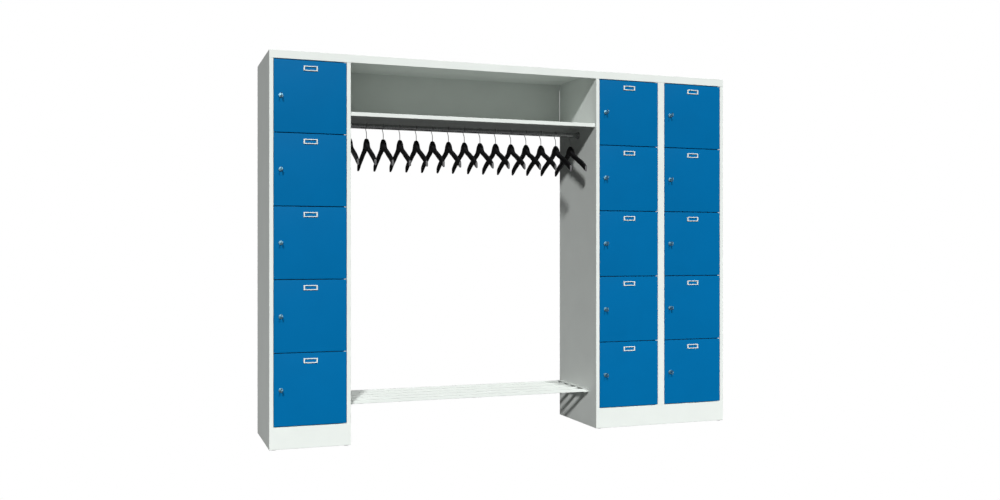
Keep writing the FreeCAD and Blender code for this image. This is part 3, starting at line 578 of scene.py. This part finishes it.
def arm_rows():
    """Reach, middle height, height and width along an arm, eased between the rows of the tables."""
    rows = []
    for reach, fall, tall, wide in zip(ARM_REACH, ARM_FALL, ARM_TALL, ARM_WIDE):
        middle = -NECK_DROP - fall * HANGER_FALL - tall * HANGER_HEIGHT / 2
        rows.append(Vector((reach * HANGER_HALF, middle, tall * HANGER_HEIGHT, wide * HANGER_WIDTH)))
    mirrored = rows[1].copy()
    mirrored[0] = -mirrored[0]
    guides = [mirrored] + rows + [2 * rows[-1] - rows[-2]]
    eased = [rows[0]]
    for before, start, end, after in zip(guides, guides[1:], guides[2:], guides[3:]):
        for step in range(1, ARM_STEPS + 1):
            t = step / ARM_STEPS
            bend = (end - before) * t + (2 * before - 5 * start + 4 * end - after) * t ** 2
            bend += (3 * start - before - 3 * end + after) * t ** 3
            eased.append(start + bend / 2)
    return eased


def hanger_body():
    """Arm drawn out section by section from the neck to its flat end, mirrored to the front."""
    rows = arm_rows()
    _, neck_z, neck_tall, neck_wide = rows[0]
    body = upright_plate("hanger_body", (0, 0, neck_z), neck_wide, neck_tall)
    edit(body)
    bpy.ops.mesh.select_all(action="SELECT")
    bpy.ops.mesh.bevel(offset=ARM_CORNER * MM, segments=ARM_CORNER_STEPS, affect="VERTICES")
    pick(body, "FACE", lambda middle, face: True)
    for start, end in zip(rows, rows[1:]):
        draw_out(0, end[0] - start[0], end[1] - start[1])
        centre = Vector((0, end[0], end[1])) * MM
        bpy.ops.transform.resize(value=(end[3] / start[3], 1, end[2] / start[2]), center_override=centre)
    pick(body, "FACE", lambda middle, face: abs(middle.y) < NEAR)
    bpy.ops.mesh.delete(type="FACE")
    close()
    bevel_edges(body, lambda middle, edge: middle.y > HANGER_HALF - NEAR, ARM_END_EDGE, FINE_EDGE_STEPS)
    modify(body, "MIRROR", use_axis=(False, True, False), use_clip=True, merge_threshold=NEAR * MM)
    return body


def hanger_hook():
    """Wire spun over the rail, spun back below it and drawn straight down to the neck."""
    turn = math.radians(HOOK_TURN_DEG)
    tip = math.radians(HOOK_TIP_DEG)
    back = HOOK_RADIUS * math.cos(turn) / (1 - math.cos(turn))
    bend_z = HOOK_Z - HOOK_RADIUS * math.sin(turn)
    back_z = bend_z - back * math.sin(turn)
    bpy.ops.mesh.primitive_circle_add(
        vertices=WIRE_SIDES, radius=WIRE_RADIUS * MM, fill_type="NOTHING",
        location=(0, HOOK_RADIUS * math.cos(tip) * MM, (HOOK_Z + HOOK_RADIUS * math.sin(tip)) * MM),
        rotation=(tip, 0, 0))
    wire = settle("hanger_hook")
    edit(wire)
    bpy.ops.mesh.select_all(action="SELECT")
    bpy.ops.mesh.edge_face_add()
    bpy.ops.mesh.spin(steps=HOOK_STEPS, angle=tip + turn, center=(0, 0, HOOK_Z * MM), axis=(1, 0, 0))
    bpy.ops.mesh.spin(steps=BACK_STEPS, angle=-turn, center=(0, back * MM, back_z * MM), axis=(1, 0, 0))
    draw_out(0, 0, STEM_END - back_z)
    close()
    return wire


# Copies of the doors, locks and hangers

def put(master, name, offset, body, node, material):
    """One copy of a master with its own mesh, riding on a body for a CAD node."""
    mesh = master.data.copy()
    mesh.name = name
    mesh.transform(Matrix.Translation(Vector(offset) * MM))
    mesh.materials.clear()
    mesh.materials.append(material)
    piece = bpy.data.objects.new(name, mesh)
    bpy.context.scene.collection.objects.link(piece)
    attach(piece, body)
    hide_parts(node)


leaf = gather(door_leaf(), door_stiffener())
door_masters = (
    (smooth(leaf), "leaf", "door_blue", blue_paint),
    (smooth(label_frame()), "label_frame", "carcass_grey", grey_paint),
    (smooth(lock_housing()), "lock_housing", "lock_nickel", nickel),
    (smooth(door_dots()), "bushes_and_dots", "foot_grey", grey_plastic),
)
lock_masters = (
    (smooth(plug_and_key()), "plug_and_key", "lock_nickel", nickel),
    (smooth(cam_and_screw()), "cam_and_screw", "zinc_steel", zinc),
)
hanger_masters = (
    (smooth(hanger_body(), HANGER_CREASE_DEG), "body", "hanger_black", arm_black_and_highlight),
    (smooth(hanger_hook(), HANGER_CREASE_DEG), "hook", "zinc_steel", zinc),
)

for column, opening_x in COLUMNS.items():
    for tier in range(TIERS):
        label = "%s_%d" % (column, TIERS - tier)
        corner = (opening_x, FRONT_Y, PLINTH_Z + tier * DOOR_PITCH)
        for masters, kind in ((door_masters, "door_"), (lock_masters, "lock_")):
            for master, part, slot, material in masters:
                node = kind + label
                put(master, node + "_" + part, corner, node, node, material)

for step in range(HANGERS):
    node = "hanger_%02d" % (step + 1)
    place = (HANGER_FIRST_X + step * HANGER_PITCH, RAIL_Y, RAIL_Z)
    for master, part, slot, material in hanger_masters:
        put(master, node + "_" + part, place, node, node, material)

for master, *_ in door_masters + lock_masters + hanger_masters:
    bpy.data.objects.remove(master)


# Floor, light and camera

def show_camera(tree, lit, seen, output):
    """Show one shader to the camera while another one lights the scene."""
    path = tree.nodes.new("ShaderNodeLightPath")
    mix = tree.nodes.new("ShaderNodeMixShader")
    tree.links.new(path.outputs["Is Camera Ray"], mix.inputs["Fac"])
    tree.links.new(lit, mix.inputs[1])
    tree.links.new(seen, mix.inputs[2])
    tree.links.new(mix.outputs["Shader"], tree.nodes[output].inputs["Surface"])


def pale_floor():
    """Studio floor that looks white and casts little light back."""
    bpy.ops.mesh.primitive_plane_add(size=FLOOR_SIZE, location=(0, 0, 0))
    floor = settle("studio_floor")
    material = bpy.data.materials.new("studio_white")
    material.use_nodes = True
    tree = material.node_tree
    shader = tree.nodes["Principled BSDF"]
    shader.inputs["Base Color"].default_value = FLOOR_GREY
    shader.inputs["Roughness"].default_value = FLOOR_ROUGHNESS
    glow = tree.nodes.new("ShaderNodeEmission")
    glow.inputs["Strength"].default_value = 1.0
    show_camera(tree, shader.outputs["BSDF"], glow.outputs["Emission"], "Material Output")
    floor.data.materials.append(material)


def front_light(name, strength, heading):
    """One soft light from the front and above."""
    light = bpy.data.objects.new(name, bpy.data.lights.new(name, "SUN"))
    light.data.energy = strength
    light.data.angle = math.radians(LIGHT_SPREAD_DEG)
    light.rotation_euler = Vector(heading).to_track_quat("-Z", "Y").to_euler()
    bpy.context.scene.collection.objects.link(light)


def studio_light():
    """Two lights of near equal strength, and a surround that looks white but is dim."""
    for name, (strength, heading) in LIGHTS.items():
        front_light(name, strength, heading)
    world = bpy.data.worlds.new("studio")
    bpy.context.scene.world = world
    world.use_nodes = True
    tree = world.node_tree
    seen = tree.nodes["Background"]
    fill = tree.nodes.new("ShaderNodeBackground")
    for background, strength in ((seen, 1.0), (fill, FILL_STRENGTH)):
        background.inputs["Color"].default_value = WHITE
        background.inputs["Strength"].default_value = strength
    show_camera(tree, fill.outputs["Background"], seen.outputs["Background"], "World Output")


def photo_camera():
    """Level camera, turned to the right, at the photographed view."""
    camera = bpy.data.objects.new("camera", bpy.data.cameras.new("camera"))
    camera.location = CAMERA_PLACE
    camera.rotation_euler = (math.pi / 2, 0, math.radians(CAMERA_TURN_DEG))
    camera.data.sensor_width = CAMERA_SENSOR
    camera.data.lens = CAMERA_LENS
    bpy.context.scene.collection.objects.link(camera)
    bpy.context.scene.camera = camera


pale_floor()
studio_light()
photo_camera()
bpy.context.scene.view_settings.view_transform = "Standard"
